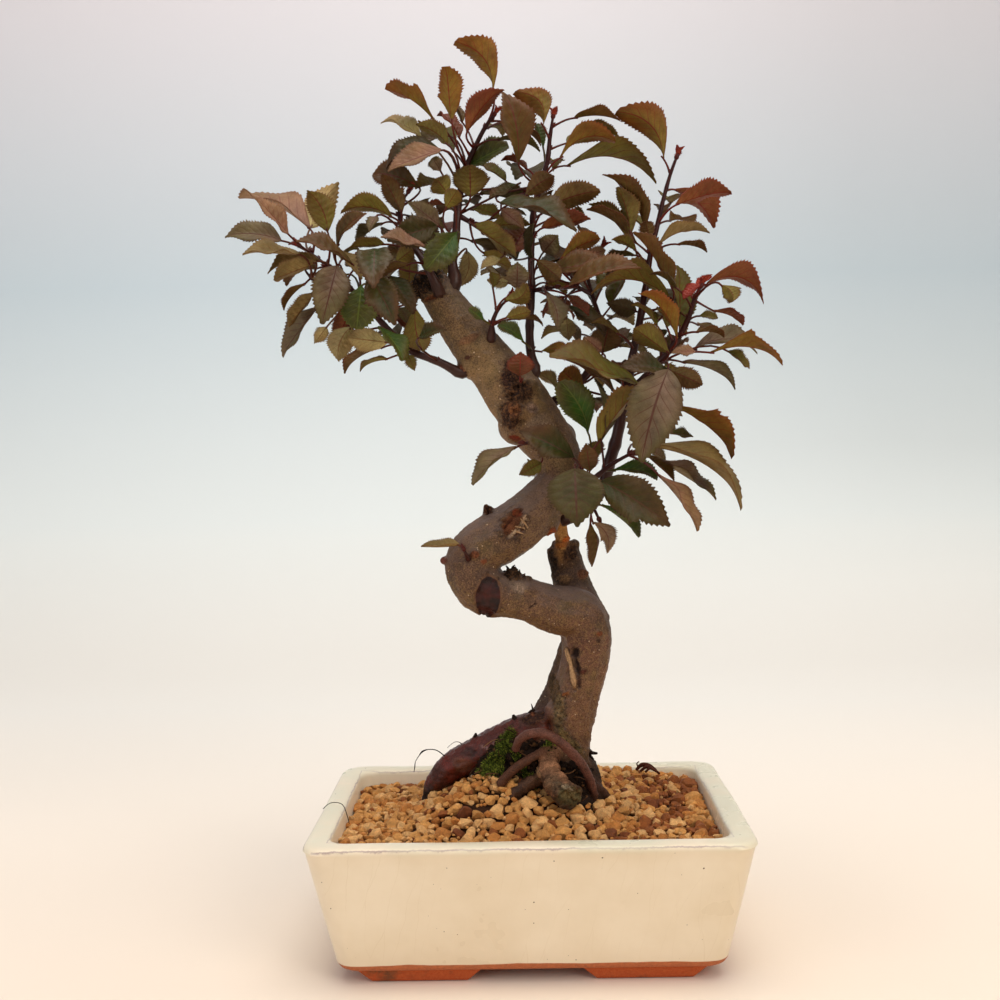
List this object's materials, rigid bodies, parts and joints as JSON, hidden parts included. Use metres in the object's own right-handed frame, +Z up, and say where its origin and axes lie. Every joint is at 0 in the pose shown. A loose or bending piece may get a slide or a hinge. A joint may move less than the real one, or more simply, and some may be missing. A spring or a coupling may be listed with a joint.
{
  "type": "potted apple bonsai",
  "caption": "Informal upright apple bonsai with a sharply bent trunk, old cut stubs, raised surface roots and wine-tinted leaves, in a shallow cream glazed pot of gravel.",
  "frame": {"origin": "centre of the whole object's footprint, pot and overhanging leaves together, on the plane that the feet stand on", "axes": "+Z up; +X to the right of the tree's front, along the pot's long side; +Y to the back; -Y is the side that the tree is shown from"},
  "size_m": [0.2136, 0.1192, 0.3668],
  "materials": {
    "pot": "cream crackle glaze over a bare terracotta base",
    "drain_screen": "moulded mesh",
    "soil": "dry tan clay granules",
    "wood": "living bark with moss and old cuts",
    "foliage": "leaf blades, satin above and matt below"
  },
  "bodies": {
    "root": {"pot": "pot", "drain_screen_left": "drain_screen", "drain_screen_right": "drain_screen", "soil": "soil", "tree": "wood", "left_shoot": "foliage", "crown_left_shoot": "foliage", "crown_shoot": "foliage", "tall_shoot": "foliage", "crotch_spur": "foliage", "centre_shoot": "foliage", "right_shoot": "foliage", "outer_right_shoot": "foliage", "low_right_shoot": "foliage", "trunk_spur": "foliage", "limb_leaf": "foliage"}
  },
  "joints": []
}
